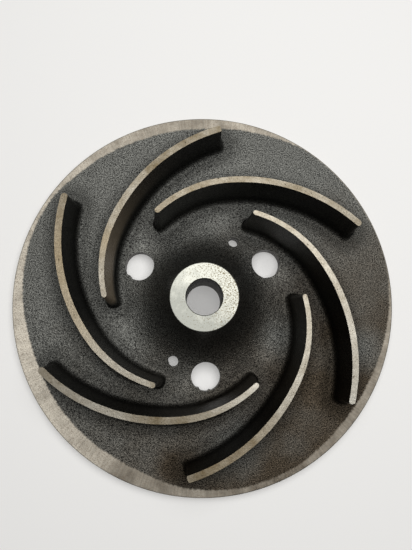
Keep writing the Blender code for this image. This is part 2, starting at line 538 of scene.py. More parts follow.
    def build(self, shell: Shell, face_height: Callable[[np.ndarray], np.ndarray]) -> None:
        """Lays the vane's walls, its fillet and its ground top.

        Args:
            shell: The surface that they are added to.
            face_height: Gives the plate's height under flat points.
        """
        loops = []
        for share, height, grow in self.levels():
            flat = self.outline(grow, 1 - share)
            low = face_height(flat) + height
            loops.append(raised(flat, low + (self.top_height(flat) - low) * share))
        shell.strip(loops, Surface.SAND_CAST)
        side = len(self.line(0.0)[0])
        last = 2 * side + self.cap_steps - 2
        faces = [(here, here + 1, last - here - 1, last - here) for here in range(side - 1)]
        faces.append(tuple(range(side - 1, side + self.cap_steps)))
        faces.append((*range(last, len(loops[0])), 0))
        shell.add(loops[0], faces, Surface.GROUND)

    def along_top(self, flat: np.ndarray, table: Table) -> np.ndarray:
        """Reads a table at points of the ground top.

        Args:
            flat: The flat points.
            table: Shares of the way from nose to tail, each with its value.

        Returns:
            The value at each point.
        """
        line = self.placed(self.line(0.0)[0])
        nearest = np.hypot(*(flat[:, None] - line).transpose(2, 0, 1)).argmin(axis=1)
        return np.interp(nearest / (len(line) - 1), *zip(*table))

    def rusty(self, points: np.ndarray) -> np.ndarray:
        """Says how rusty the vane's walls are.

        Args:
            points: Points on the walls, in space.

        Returns:
            A share from 0 to 1 for each point.
        """
        nose = self.placed(self.line(0.0)[0])[0]
        along = 1 - smooth(np.hypot(*(points[:, :2] - nose).T), *self.rusty_run)
        return self.rusty_nose * along * smooth(points[:, 2] - self.plate_top, *self.rusty_rise)


@dataclass
class Plate:
    """The round back plate: its cast face, and the land that the lathe skimmed round its edge."""

    rim_radius: float
    edge_break: float = 0.7 * MM
    back_chamfer: float = 0.8 * MM
    land_slope: float = 0.03
    land_sink: float = 0.4 * MM
    # Share of the rim's radius inside which the plate is neither warped nor sunk.
    flat_share: float = 0.4
    # Angle in degrees, and width in millimetres of the skimmed land there.
    land_widths: Table = (
        (2, 2.0), (8, 0.7), (52, 0.6), (57, 1.1), (67, 4.1), (82, 7.1), (88, 8.4), (110, 8.4),
        (117, 7.6), (126, 6.4), (134, 5.5), (140, 3.6), (146, 2.8), (153, 3.1), (162, 4.3),
        (170, 5.9), (181, 8.3), (187, 9.9), (195, 11.1), (201, 11.7), (241, 11.7), (250, 10.5),
        (257, 8.0), (262, 6.7), (281, 4.2), (300, 4.3), (307, 5.6), (316, 6.4), (330, 6.2),
        (341, 5.0), (350, 3.6), (356, 2.4),
    )
    # Angle in degrees, and how bare and bright the skimmed land is there: partly bare metal and stains,
    # partly painted sheen.
    land_bareness_and_sheen: Table = (
        (10, -0.4), (60, 0.0), (95, -0.3), (130, 0.2), (160, 0.5), (185, 0.8), (217, 0.9), (235, 0.3),
        (243, -0.5), (255, -0.6), (270, -0.4), (285, -0.9), (300, -0.8), (320, -0.4), (345, -0.3),
    )
    steps: int = 720
    side_rows: int = 6
    spacing: float = 1.25 * MM
    back_spacing: float = 4.0 * MM
    # Share of the spacing that inner points keep off the borders, on the face and on the back.
    clearance: float = 0.6
    back_clearance: float = 0.5

    def land_width(self, flat: np.ndarray) -> np.ndarray:
        """Width of the skimmed land in the direction of flat points."""
        return MM * round_the_rim(flat, self.land_widths)

    def land_depth(self, flat: np.ndarray) -> np.ndarray:
        """How far flat points lie beyond the land's inner border, below zero on the cast face."""
        return np.hypot(*flat.T) - (self.rim_radius - self.land_width(flat))

    def face_height(self, flat: np.ndarray, hub: Hub) -> np.ndarray:
        """Finds the height of the face: the warped casting, or the lathe's cone where that is lower.

        Args:
            flat: Flat points.
            hub: The boss in the middle, whose flank runs out into the face.

        Returns:
            The height over each point.
        """
        radii = np.hypot(*flat.T)
        outward = smooth(radii, self.flat_share * self.rim_radius, self.rim_radius)
        warp = self.land_slope * self.land_width(flat) * outward
        cone = self.land_slope * (self.rim_radius - radii)
        return hub.flank_height(radii) - self.land_sink * outward + np.minimum(warp, cone)

    def inner_points(
        self, bounds: Pair, spacing: float, clearance: float, forms: Sequence[PlateHole | Vane]
    ) -> np.ndarray:
        """Lays the points inside a face.

        Args:
            bounds: Radii of the face's inner and outer border.
            spacing: The distance between neighbours.
            clearance: Share of the spacing that they keep off every border.
            forms: The holes and feet that they keep off as well.

        Returns:
            The flat points.
        """
        grid = hex_grid(bounds[1], spacing)
        margin = clearance * spacing
        radii = np.hypot(*grid.T)
        grid = grid[(radii > bounds[0] + margin) & (radii < bounds[1] - margin)]
        for form in forms:
            grid = grid[form.clear(grid, margin)]
        return grid

    def build(self, shell: Shell, hub: Hub, holes: Sequence[PlateHole], vanes: Sequence[Vane]) -> None:
        """Lays the face, the holes' walls, the rim and the back.

        Args:
            shell: The surface that they are added to.
            hub: The boss in the middle of the plate.
            holes: The holes through it.
            vanes: The vanes that stand on it.
        """
        outlines = [hole.outline() for hole in holes]
        reach = self.rim_radius - self.edge_break
        edge = circle(reach, self.steps)
        grid = self.inner_points((hub.skirt_radius, reach), self.spacing, self.clearance, (*holes, *vanes))
        flat, faces = filled(edge, [hub.skirt(), *outlines, *(vane.foot() for vane in vanes)], grid)
        shell.add(raised(flat, self.face_height(flat, hub)), faces, Surface.PLATE_FACE)
        for hole, outline in zip(holes, outlines):
            hole.build(shell, raised(outline, self.face_height(outline, hub)))
        self.build_rim(shell, raised(edge, self.face_height(edge, hub)))
        self.build_back(shell, hub, holes, outlines)

    def build_rim(self, shell: Shell, edge: np.ndarray) -> None:
        """Lays the plate's outer side, from the face's edge down to the back.

        Args:
            shell: The surface that it is added to.
            edge: The face's outer edge, in space.
        """
        side = circle(self.rim_radius, self.steps)
        shares = np.linspace(1.0, 0.0, self.side_rows)
        upper = edge[:, 2] - self.edge_break - self.back_chamfer
        rows = [raised(side, self.back_chamfer + upper * share) for share in shares]
        back = raised(circle(self.rim_radius - self.back_chamfer, self.steps), 0.0)
        shell.strip([edge, *rows, back], Surface.TURNED)

    def build_back(
        self, shell: Shell, hub: Hub, holes: Sequence[PlateHole], outlines: Sequence[np.ndarray]
    ) -> None:
        """Lays the flat back round the bore and the holes.

        Args:
            shell: The surface that it is added to.
            hub: The boss that the bore runs through.
            holes: The holes through the plate.
            outlines: Their flat outlines.
        """
        reach = self.rim_radius - self.back_chamfer
        bounds = (hub.mouth_radius(), reach)
        grid = self.inner_points(bounds, self.back_spacing, self.back_clearance, holes)
        mouth = circle(hub.mouth_radius(), hub.steps)
        flat, faces = filled(circle(reach, self.steps), [mouth, *outlines], grid)
        shell.add(raised(flat, 0.0), faces, Surface.TURNED)


@dataclass(frozen=True)
class Blotch:
    """A soft spot where the skin is browner, or greyer below zero, than round it: partly painted light and
    shade.
    """

    angle: float
    distance: float
    reach: float
    browner: float

    def share(self, flat: np.ndarray) -> np.ndarray:
        """How much browner it makes the skin at flat points."""
        away = np.hypot(*(flat - polar(self.distance, self.angle)).T)
        return self.browner * (1 - smooth(away, 0.0, self.reach))


@dataclass(frozen=True)
class SandTexture:
    """How far the sand mould moved the skin from its drawing.

    A rammed mould gives by about 0.1 mm over a centimetre or two, and its clusters of grains stand
    out by nearly as much. Single grains are too small for the mesh, and the finish draws them.
    """

    wave_size: float = 14.0 * MM
    wave_height: float = 0.12 * MM
    grain_size: float = 3.0 * MM
    grain_height: float = 0.09 * MM
    # How far before the skimmed land the texture starts to fade.
    land_fade: float = 1.5 * MM

    def swell(self, point: Vector) -> float:
        """How far out the skin lies at this point."""
        wave = self.wave_height * noise.noise(point / self.wave_size)
        return wave + self.grain_height * noise.noise(point / self.grain_size)

    def apply(self, mesh: bpy.types.Mesh, plate: Plate) -> None:
        """Moves the cast skin, and leaves what a tool has cut where it is.

        Args:
            mesh: The welded casting.
            plate: Its plate, whose skimmed land stays smooth.
        """
        meets = touching(mesh)
        points = np.array([vertex.co for vertex in mesh.vertices])
        normals = np.array([vertex.normal for vertex in mesh.vertices])
        swells = np.array([self.swell(Vector(point)) for point in points])
        rough = meets[Surface.SAND_CAST] | meets[Surface.PLATE_FACE] | meets[Surface.DRILLED]
        land = smooth(plate.land_depth(points[:, :2]), -self.land_fade, 0.0)
        land[~meets[Surface.PLATE_FACE]] = 0.0
        moves = normals * (swells * rough * (1 - land))[:, None]
        moves[meets[Surface.FACED] | meets[Surface.BORED]] = 0.0
        level = meets[Surface.GROUND] | meets[Surface.TURNED]
        moves[level, 2] = 0.0
        moves[meets[Surface.TURNED] & ~meets[Surface.DRILLED]] = 0.0
        mesh.vertices.foreach_set("co", (points + moves).ravel())
        mesh.update()


def touching(mesh: bpy.types.Mesh) -> dict[Surface, np.ndarray]:
    """Finds which surfaces meet at each vertex.

    Args:
        mesh: The welded casting, its faces in the slots of their surfaces.

    Returns:
        For each surface, whether one of its faces meets each vertex.
    """
    corners = np.empty(len(mesh.loops), np.int32)
    mesh.loops.foreach_get("vertex_index", corners)
    slots = np.empty(len(mesh.polygons), np.int32)
    mesh.polygons.foreach_get("material_index", slots)
    sizes = np.empty(len(mesh.polygons), np.int32)
    mesh.polygons.foreach_get("loop_total", sizes)
    found = np.zeros((len(Surface), len(mesh.vertices)), bool)
    found[np.repeat(slots, sizes), corners] = True
    return {surface: found[surface.value] for surface in Surface}


def linear(code: str) -> tuple[float, float, float, float]:
    """Turns an sRGB colour to linear light, by the two parts of the standard's curve.

    Args:
        code: The colour's six hex digits.

    Returns:
        Red, green and blue as linear light, and full opacity.
    """
    shares = [int(code[at:at + 2], 16) / 255 for at in (0, 2, 4)]
    red, green, blue = (s / 12.92 if s <= 0.04045 else ((s + 0.055) / 1.055) ** 2.4 for s in shares)
    return red, green, blue, 1.0


def add_node(
    tree: Tree,
    kind: str,
    inputs: Mapping[str | int | tuple[str | int, ...], object],
    output: str | int = 0,
    **settings: object,
) -> Socket | None:
    """Adds one node to a material.

    Args:
        tree: The material's node tree.
        kind: The node's type.
        inputs: What goes into its sockets: a value, or another node's output. The key is the socket's
            name or number, or a group of sockets that has a value for each.
        output: Which of its own outputs is wanted.
        settings: The node's own settings.

    Returns:
        The wanted output, or nothing where the node has none.
    """
    node = tree.nodes.new(kind)
    for name, value in settings.items():
        setattr(node, name, value)
    for names, values in inputs.items():
        for name, value in zip(names, values) if isinstance(names, tuple) else [(names, values)]:
            if isinstance(value, Socket):
                tree.links.new(value, node.inputs[name])
            else:
                node.inputs[name].default_value = value
    return node.outputs[output] if node.outputs else None


def shaft_distance(tree: Tree, place: Socket) -> Socket:
    """Adds the distance of a place from the shaft's axis, and gives it."""
    flat = add_node(tree, "ShaderNodeVectorMath", {0: place, 1: FLATTEN}, operation="MULTIPLY")
    return add_node(tree, "ShaderNodeVectorMath", {0: flat}, "Value", operation="LENGTH")


def spoke_place(tree: Tree, place: Socket) -> Socket:
    """Adds the place on the rim that lies in the same direction as another place.

    Args:
        tree: The material's node tree.
        place: The other place.

    Returns:
        The place on the rim, so that a pattern laid there runs out from the shaft.
    """
    flat = add_node(tree, "ShaderNodeVectorMath", {0: place, 1: FLATTEN}, operation="MULTIPLY")
    direction = add_node(tree, "ShaderNodeVectorMath", {0: flat}, operation="NORMALIZE")
    return add_node(tree, "ShaderNodeVectorMath", {0: direction, 3: SPOKE_REACH}, operation="SCALE")


def uneven(tree: Tree, place: Socket, size: float, layers: Pair, pull: Pair) -> Socket:
    """Adds a random pattern whose value rises steadily towards one side.

    Args:
        tree: The material's node tree.
        place: Where a point lies on the casting.
        size: How large the pattern's marks are.
        layers: How many finer layers it has, and how strong they are.
        pull: How much it rises for each metre along X and Y.

    Returns:
        The pattern's value.
    """
    pattern = add_node(tree, "ShaderNodeTexNoise", {"Vector": place, "Scale": 1 / size, LAYERS: layers})
    rise = add_node(tree, "ShaderNodeVectorMath", {
        0: place, 1: (*pull, 0.0),
    }, "Value", operation="DOT_PRODUCT")
    return add_node(tree, "ShaderNodeMath", {0: pattern, 1: rise}, operation="ADD")


@dataclass(frozen=True)
class CastSkin:
    """Grey iron as it leaves the sand: dark oxide over a fine grain, a dull sheen, browner to one side.

    The grain gives the eye its salt-and-pepper speckle, the patches its drift from grey to brown,
    and painted light makes the skin lighter round the hub, and painted shade darker along the vanes' feet.
    """

    dark: str = "20201F"
    light: str = "797974"
    brown: str = "BDAA97"
    rust: str = "8C7B62"
    # Moulding sand is 0.2 to 0.3 mm across, under half a dot of the picture, so it is drawn coarser.
    grain: float = 0.85 * MM
    grain_layers: Pair = (3.0, 0.6)
    speckle: Pair = (0.36, 0.66)
    # The oxide turns brown in patches a few centimetres across, where the skin stayed damp. How much
    # they count, how brown it is without them, and how much browner each metre towards one side.
    patch: float = 45.0 * MM
    patch_layers: Pair = (4.0, 0.6)
    patch_share: float = 0.5
    brown_start: float = 0.25
    brown_lean: float = 2.6
    brown_angle: float = math.radians(-55.0)
    browning: Pair = (0.42, 0.85)
    # Painted light round the hub and painted shade at the vanes' feet, as shares of the plain skin's
    # brightness, and where each fades.
    painted_hub_light: float = 1.22
    hub_reach: Pair = (40.0 * MM, 90.0 * MM)
    painted_foot_shade: float = 0.55
    foot_reach: Pair = (0.0, 12.0 * MM)
    # Gas pits are 0.4 to 1 mm across, one to every few millimetres: their walls as shares of that pitch.
    pit: float = 3.5 * MM
    pit_walls: Pair = (0.05, 0.16)
    pit_depth: float = 0.5
    metallic: float = 1.0
    roughness: float = 0.5
    relief: float = 0.35 * MM

    def shader(self, tree: Tree) -> Socket:
        """Adds the skin's nodes.

        Args:
            tree: The material's node tree.

        Returns:
            The shader that ends them.
        """
        place = add_node(tree, "ShaderNodeTexCoord", {}, "Object")
        grain = add_node(tree, "ShaderNodeTexNoise", {
            "Vector": place, "Scale": 1 / self.grain, LAYERS: self.grain_layers,
        })
        rusty = add_node(tree, "ShaderNodeAttribute", {}, "Fac", attribute_name=RUSTY)
        speckle = add_node(tree, "ShaderNodeMapRange", {"Value": grain, FROM: self.speckle})
        colour = add_node(tree, "ShaderNodeMix", {
            MIX: (speckle, linear(self.dark), linear(self.light)),
        }, MIXED, data_type="RGBA")
        colour = self.browned_and_shaded(tree, place, colour)
        colour = self.shaded(tree, place, colour)
        colour = add_node(tree, "ShaderNodeMix", {
            MIX: (rusty, colour, linear(self.rust)),
        }, MIXED, data_type="RGBA")
        pits = add_node(tree, "ShaderNodeTexVoronoi", {"Vector": place, "Scale": 1 / self.pit}, "Distance")
        pitting = add_node(tree, "ShaderNodeMapRange", {"Value": pits, FROM: self.pit_walls})
        height = add_node(tree, "ShaderNodeMath", {
            0: pitting, 1: self.pit_depth, 2: grain,
        }, operation="MULTIPLY_ADD")
        bump = add_node(tree, "ShaderNodeBump", {"Height": height, "Strength": 1.0, "Distance": self.relief})
        bare = add_node(tree, "ShaderNodeMath", {0: self.metallic, 1: rusty}, operation="SUBTRACT")
        return add_node(tree, "ShaderNodeBsdfPrincipled", {
            "Base Color": colour, "Metallic": bare, "Roughness": self.roughness, "Normal": bump,
        })

    def browned_and_shaded(self, tree: Tree, place: Socket, colour: Socket) -> Socket:
        """Adds the drift from grey to brown, with the blotches that partly paint light and shade.

        Args:
            tree: The material's node tree.
            place: Where a point lies on the casting.
            colour: The skin's colour without it.

        Returns:
            The colour with it.
        """
        patch = add_node(tree, "ShaderNodeTexNoise", {
            "Vector": place, "Scale": 1 / self.patch, LAYERS: self.patch_layers,
        })
        calm = add_node(tree, "ShaderNodeMath", {
            0: patch, 1: self.patch_share, 2: self.brown_start,
        }, operation="MULTIPLY_ADD")
        towards = (math.cos(self.brown_angle), math.sin(self.brown_angle), 0.0)
        side = add_node(tree, "ShaderNodeVectorMath", {
            0: place, 1: towards,
        }, "Value", operation="DOT_PRODUCT")
        leaning = add_node(tree, "ShaderNodeMath", {
            0: side, 1: self.brown_lean, 2: calm,
        }, operation="MULTIPLY_ADD")
        blotch = add_node(tree, "ShaderNodeAttribute", {}, "Fac", attribute_name=BROWNED_AND_SHADED)
        browner = add_node(tree, "ShaderNodeMath", {0: leaning, 1: blotch}, operation="ADD")
        browning = add_node(tree, "ShaderNodeMapRange", {"Value": browner, FROM: self.browning})
        return add_node(tree, "ShaderNodeMix", {
            MIX: (browning, colour, linear(self.brown)),
        }, MIXED, data_type="RGBA", blend_type="MULTIPLY")

    def shaded(self, tree: Tree, place: Socket, colour: Socket) -> Socket:
        """Adds the painted light round the hub, and the painted shade along the vanes' feet.

        Args:
            tree: The material's node tree.
            place: Where a point lies on the casting.
            colour: The skin's colour without them.

        Returns:
            The colour with them.
        """
        foot = add_node(tree, "ShaderNodeAttribute", {}, "Fac", attribute_name=FOOT_DISTANCE)
        for away, reach, brightness in (
            (shaft_distance(tree, place), self.hub_reach, self.painted_hub_light),
            (foot, self.foot_reach, self.painted_foot_shade),
        ):
            shade = add_node(tree, "ShaderNodeMapRange", {
                "Value": away, FROM: reach, "To Min": brightness,
            }, interpolation_type="SMOOTHSTEP")
            colour = add_node(tree, "ShaderNodeVectorMath", {0: colour, 3: shade}, operation="SCALE")
        return colour


@dataclass(frozen=True)
class CutIron:
    """Grey iron cut by a tool: bare metal, stained in patches and pitted where the cut opened pores.

    The patches and the tan give the eye the metal's age, the pores its dark or pale specks, and the
    tool's marks the way that its sheen runs.
    """

    clean: str
    stained: str
    tan: str = "FFFFFF"
    pore: str = "2A2622"
    # Stains from wet hands and drips, about a centimetre across.
    stain: float = 9.0 * MM
    stain_layers: Pair = (5.0, 0.65)
    stain_range: Pair = (0.40, 0.62)
    # How much less stained it is where it is noted as bare and bright, which is partly painted sheen.
    bare_and_sheen_share: float = 0.4
    # Open pores are 0.2 to 0.5 mm across, under a dot of the picture, so they are drawn coarser.
    pore_size: float = 1.3 * MM
    pore_layers: Pair = (2.0, 0.5)
    pore_range: Pair = (0.60, 0.68)
    # Where it is clean, and where it is stained.
    roughness: Pair = (0.42, 0.55)
    # How much more stained and how much more porous it is for each metre along X and Y; a stain pull
    # below zero paints a highlight that way.
    stain_and_highlight_pull: Pair = (0.0, 0.0)
    pore_pull: Pair = (0.0, 0.0)
    marks: Marks = Marks.NONE
    # A tool's marks are 0.1 to 0.3 mm apart, too fine to show, so they are drawn coarser.
    mark: float = 0.5 * MM
    mark_layers: Pair = (2.0, 0.6)
    mark_range: Pair = (0.3, 0.7)
    streak: float = 0.12
    relief: float = 0.08 * MM

    def shader(self, tree: Tree) -> Socket:
        """Adds the metal's nodes.

        Args:
            tree: The material's node tree.

        Returns:
            The shader that ends them.
        """
        place = add_node(tree, "ShaderNodeTexCoord", {}, "Object")
        stain = uneven(tree, place, self.stain, self.stain_layers, self.stain_and_highlight_pull)
        bare_and_sheen = add_node(tree, "ShaderNodeAttribute", {}, "Fac", attribute_name=BARE_METAL_AND_SHEEN)
        worn = add_node(tree, "ShaderNodeMath", {
            0: bare_and_sheen, 1: -self.bare_and_sheen_share, 2: stain,
        }, operation="MULTIPLY_ADD")
        staining = add_node(tree, "ShaderNodeMapRange", {"Value": worn, FROM: self.stain_range})
        colour = add_node(tree, "ShaderNodeMix", {
            MIX: (staining, linear(self.clean), linear(self.stained)),
        }, MIXED, data_type="RGBA")
        tanned = add_node(tree, "ShaderNodeAttribute", {}, "Fac", attribute_name=BROWNED_AND_SHADED)
        colour = add_node(tree, "ShaderNodeMix", {
            MIX: (tanned, colour, linear(self.tan)),
        }, MIXED, data_type="RGBA", blend_type="MULTIPLY")
        pores = uneven(tree, place, self.pore_size, self.pore_layers, self.pore_pull)
        pore = add_node(tree, "ShaderNodeMapRange", {"Value": pores, FROM: self.pore_range})
        colour = add_node(tree, "ShaderNodeMix", {
            MIX: (pore, colour, linear(self.pore)),
        }, MIXED, data_type="RGBA")
        rough = add_node(tree, "ShaderNodeMapRange", {"Value": staining, TO: self.roughness})
        marks = self.tool_marks(tree, place)
        streaking = add_node(tree, "ShaderNodeMapRange", {
            "Value": marks, FROM: self.mark_range, TO: (1 - self.streak, 1 + self.streak),
        })
        colour = add_node(tree, "ShaderNodeVectorMath", {0: colour, 3: streaking}, operation="SCALE")
        height = add_node(tree, "ShaderNodeMath", {0: pore, 1: -1.0, 2: marks}, operation="MULTIPLY_ADD")
        bump = add_node(tree, "ShaderNodeBump", {"Height": height, "Strength": 1.0, "Distance": self.relief})
        return add_node(tree, "ShaderNodeBsdfPrincipled", {
            "Base Color": colour, "Metallic": 1.0, "Roughness": rough, "Normal": bump,
        })

    def tool_marks(self, tree: Tree, place: Socket) -> Socket:
        """Adds the tool's marks.

        Args:
            tree: The material's node tree.
            place: Where a point lies on the casting.

        Returns:
            The marks' height.
        """
        if self.marks is Marks.RINGS:
            place = add_node(tree, "ShaderNodeCombineXYZ", {"X": shaft_distance(tree, place)})
        if self.marks is Marks.SPOKES:
            place = spoke_place(tree, place)
        return add_node(tree, "ShaderNodeTexNoise", {
            "Vector": place, "Scale": 1 / self.mark, LAYERS: self.mark_layers,
        })


@dataclass(frozen=True)
class SkimmedFace:
    """The plate's face: cast skin, with the turned land wherever the lathe reached the warped casting.

    The border between them is ragged, as the lathe cut only the peaks of the sand's texture there.
    """

    skin: CastSkin
    land: CutIron
    # The peaks are one or two millimetres apart, and move the border by nearly as much.
    ragged: float = 1.6 * MM
    ragged_layers: Pair = (3.0, 0.65)
    ragged_range: Pair = (0.6, 1.4)
    ragged_height: float = 0.9 * MM
    # Where the skin begins to give way to the land, and where it has gone.
    fade: Pair = (-0.5 * MM, 0.7 * MM)

    def shader(self, tree: Tree) -> Socket:
        """Adds both finishes and the ragged border between them.

        Args:
            tree: The material's node tree.

        Returns:
            The mixed shader.
        """
        depth = add_node(tree, "ShaderNodeAttribute", {}, "Fac", attribute_name=LAND_DEPTH)
        place = add_node(tree, "ShaderNodeTexCoord", {}, "Object")
        edge, teeth = (
            add_node(tree, "ShaderNodeTexNoise", {
                "Vector": at, "Scale": 1 / self.ragged, LAYERS: self.ragged_layers,
            })
            for at in (place, spoke_place(tree, place))
        )
        both = add_node(tree, "ShaderNodeMath", {0: edge, 1: teeth}, operation="ADD")
        shift = add_node(tree, "ShaderNodeMapRange", {
            "Value": both, FROM: self.ragged_range, TO: (-self.ragged_height, self.ragged_height),
        })
        border = add_node(tree, "ShaderNodeMath", {0: depth, 1: shift}, operation="ADD")
        share = add_node(tree, "ShaderNodeMapRange", {"Value": border, FROM: self.fade})
        return add_node(tree, "ShaderNodeMixShader", {
            0: share, 1: self.skin.shader(tree), 2: self.land.shader(tree),
        })


@dataclass(frozen=True)
class PaintedFloor:
    """A plain pale floor, matt, that glows faintly as a light table does."""

    colour: str = "CECDCB"
    roughness: float = 0.8
    glow: float = 0.35

    def shader(self, tree: Tree) -> Socket:
        """Adds the floor's nodes, and gives the shader that ends them."""
        return add_node(tree, "ShaderNodeBsdfPrincipled", {
            "Base Color": linear(self.colour), "Roughness": self.roughness,
            "Emission Color": linear(self.colour), "Emission Strength": self.glow,
        })


Finish = CastSkin | CutIron | SkimmedFace | PaintedFloor


def make_material(name: str, finish: Finish) -> bpy.types.Material:
    """Makes a material of a finish.

    Args:
        name: What the material is, and how it was made.
        finish: What it looks like.

    Returns:
        The new material.
    """
    material = bpy.data.materials.new(name)
    material.use_nodes = True
    tree = material.node_tree
    tree.nodes.clear()
    add_node(tree, "ShaderNodeOutputMaterial", {"Surface": finish.shader(tree)})
    return material


@dataclass
class Impeller:
    """The whole casting: hub, plate, holes and vanes in one shell, and the finish of each stretch."""

    hub: Hub
    plate: Plate
    holes: Sequence[PlateHole]
    vanes: Sequence[Vane]
    blotches: Sequence[Blotch]
    sand: SandTexture = SandTexture()
    crease: float = math.radians(38.0)

    def build(self) -> bpy.types.Object:
        """Lays, welds and roughens the casting.

        Returns:
            The casting, each face in the slot of its surface.
        """
        shell = Shell()
        self.hub.build(shell)
        self.plate.build(shell, self.hub, self.holes, self.vanes)
        for vane in self.vanes:
            vane.build(shell, lambda flat: self.plate.face_height(flat, self.hub))
        obj = shell.to_object(PIECE)
        self.sand.apply(obj.data, self.plate)
        obj.data.shade_smooth()
        obj.data.set_sharp_from_angle(angle=self.crease)
        self.note_places(obj.data)
        return obj

    def note_places(self, mesh: bpy.types.Mesh) -> None:
        """Stores on each vertex what the finishes need to know of its place.

        Args:
            mesh: The welded casting.
        """
        points = np.array([vertex.co for vertex in mesh.vertices])
        flat = points[:, :2]
        meets = touching(mesh)
        land = meets[Surface.PLATE_FACE] | meets[Surface.TURNED]
        land &= points[:, 2] > self.plate.back_chamfer
        bare_and_sheen = round_the_rim(flat, self.plate.land_bareness_and_sheen) * land
        # The distance from the nearest vane's foot sets where the skin is painted with shade.
        feet = np.array([vane.distance(flat) for vane in self.vanes])
        rusty = np.zeros(len(flat))
        browned_and_shaded = sum(blotch.share(flat) for blotch in self.blotches)
        for vane, foot in zip(self.vanes, feet):
            top = meets[Surface.GROUND] & (foot < 0)
            bare_and_sheen[top] = vane.along_top(flat[top], vane.ground)
            browned_and_shaded[top] = vane.along_top(flat[top], vane.tanned)
            wall = meets[Surface.SAND_CAST] & (foot < 0)
            rusty[wall] = vane.rusty(points[wall])
        notes = {
            LAND_DEPTH: self.plate.land_depth(flat), BARE_METAL_AND_SHEEN: bare_and_sheen,
            FOOT_DISTANCE: feet.min(axis=0), RUSTY: rusty, BROWNED_AND_SHADED: browned_and_shaded,
        }
        for name, values in notes.items():
            mesh.attributes.new(name, "FLOAT", "POINT").data.foreach_set("value", values.astype(np.float32))

    def dress(self, obj: bpy.types.Object) -> None:
        """Gives each stretch of the casting its finish.

        Args:
            obj: The casting, each face in the slot of its surface.
        """
        skin = CastSkin()
        # Fine rings from the lathe, dulled in store: a warm grey with a soft, even sheen.
        turned = CutIron(
            "C4BDAF", "6A6358", pore="4A443B", stain=12.0 * MM, stain_range=(0.10, 0.96),
            pore_range=(0.66, 0.74), roughness=(0.6, 0.7), marks=Marks.RINGS, relief=0.04 * MM,
        )
        # A skim over the warped rim: pale metal with short marks outward and specks of skin left in it.
        land = replace(
            turned, clean="D0C9BB", pore="93887A", pore_size=0.7 * MM, pore_range=(0.46, 0.72),
            marks=Marks.SPOKES, mark=1.2 * MM, streak=0.13,
        )
        # Fine rings again on the hub's end: even and pale, with rust-brown specks to one side, and a painted
        # highlight that leaves it cleaner and paler towards the upper right.
        faced = CutIron(
            "C7C7BD", "A3A49C", pore="6C5F42", stain=7.0 * MM, stain_range=(0.34, 0.72),
            pore_size=0.9 * MM, pore_range=(0.54, 0.74), stain_and_highlight_pull=(-9.0, -13.0), pore_pull=(4.0, 1.5),
            roughness=(0.6, 0.62), marks=Marks.RINGS, streak=0.05, relief=0.03 * MM,
        )
        # A hand grinder's work: bright bare metal that turns to dull brown stains and tan along a vane.
        ground = CutIron(
            "E2DDD0", "84775F", tan="F0D8A8", pore="5A5142", stain_range=(-0.15, 0.85),
            pore_range=(0.66, 0.74), mark=1.0 * MM, streak=0.2,
        )
        # The bore's wall is painted dark and dull for the shade inside it, and those of the drilled holes are
        # darker and browner still.
        bored = CutIron("4A4845", "3A3835", roughness=(0.6, 0.65))
        drilled = CutIron("3E3A35", "2A2622")
        finishes = {
            Surface.SAND_CAST: ("grey iron, sand-cast skin", skin),
            Surface.PLATE_FACE: ("grey iron, sand-cast face skimmed at the rim", SkimmedFace(skin, land)),
            Surface.TURNED: ("grey iron, turned", turned),
            Surface.FACED: ("grey iron, faced", faced),
            Surface.GROUND: ("grey iron, ground by hand", ground),
            Surface.BORED: ("grey iron, bored", bored),
            Surface.DRILLED: ("grey iron, drilled", drilled),
        }
        for surface in Surface:
            obj.data.materials.append(make_material(*finishes[surface]))


@dataclass(frozen=True)
class Studio:
    """A pale floor, one wide soft light overhead and the camera that stands over the part."""

    floor_reach: float = 2.5
    light_place: Triple = (0.12, 0.21, 1.0)
    light_radius: float = 0.52
    light_radiance: float = 4.6
    fill: float = 0.10
    eye: Triple = (-0.00834, -0.03429, 0.45142)
    right: Triple = (0.99954, -0.02124, 0.02149)
    up: Triple = (0.01848, 0.99244, 0.12134)
    back: Triple = (-0.02391, -0.12088, 0.99238)
    lens: float = 39.27
    sensor: float = 36.0

    def build_floor(self) -> bpy.types.Object:
        """Lays the floor under the part.

        Returns:
            The floor.
        """
        reach = self.floor_reach
        corners = [(-reach, -reach, 0.0), (reach, -reach, 0.0), (reach, reach, 0.0), (-reach, reach, 0.0)]
        mesh = bpy.data.meshes.new("floor")
        mesh.from_pydata(corners, [], [(0, 1, 2, 3)])
        mesh.materials.append(make_material("floor paint, matt", PaintedFloor()))
        return add_object("floor", mesh)

    def build_light(self) -> None:
        """Hangs the soft light, and sets the room's faint fill."""
        lamp = bpy.data.lights.new("soft_light", "AREA")
        lamp.shape = "DISK"
        lamp.size = 2 * self.light_radius
        # A disk that glows evenly gives off its radiance times pi for each square metre.
        lamp.energy = self.light_radiance * math.pi * math.pi * self.light_radius**2
        add_object("soft_light", lamp).location = self.light_place
        world = bpy.data.worlds.new("room")
        world.use_nodes = True
        world.node_tree.nodes["Background"].inputs["Strength"].default_value = self.fill
        world.node_tree.nodes["Background"].inputs["Color"].default_value = (1.0, 1.0, 1.0, 1.0)
        bpy.context.scene.world = world

    def build_camera(self) -> None:
        """Stands the camera where the photograph was taken from."""
        lens = bpy.data.cameras.new("camera")
        lens.lens = self.lens
        lens.sensor_width = self.sensor
        camera = add_object("camera", lens)
        axes = Matrix((self.right, self.up, self.back)).transposed().to_4x4()
        camera.matrix_world = Matrix.Translation(self.eye) @ axes
        bpy.context.scene.camera = camera
        bpy.context.scene.view_settings.view_transform = "Standard"


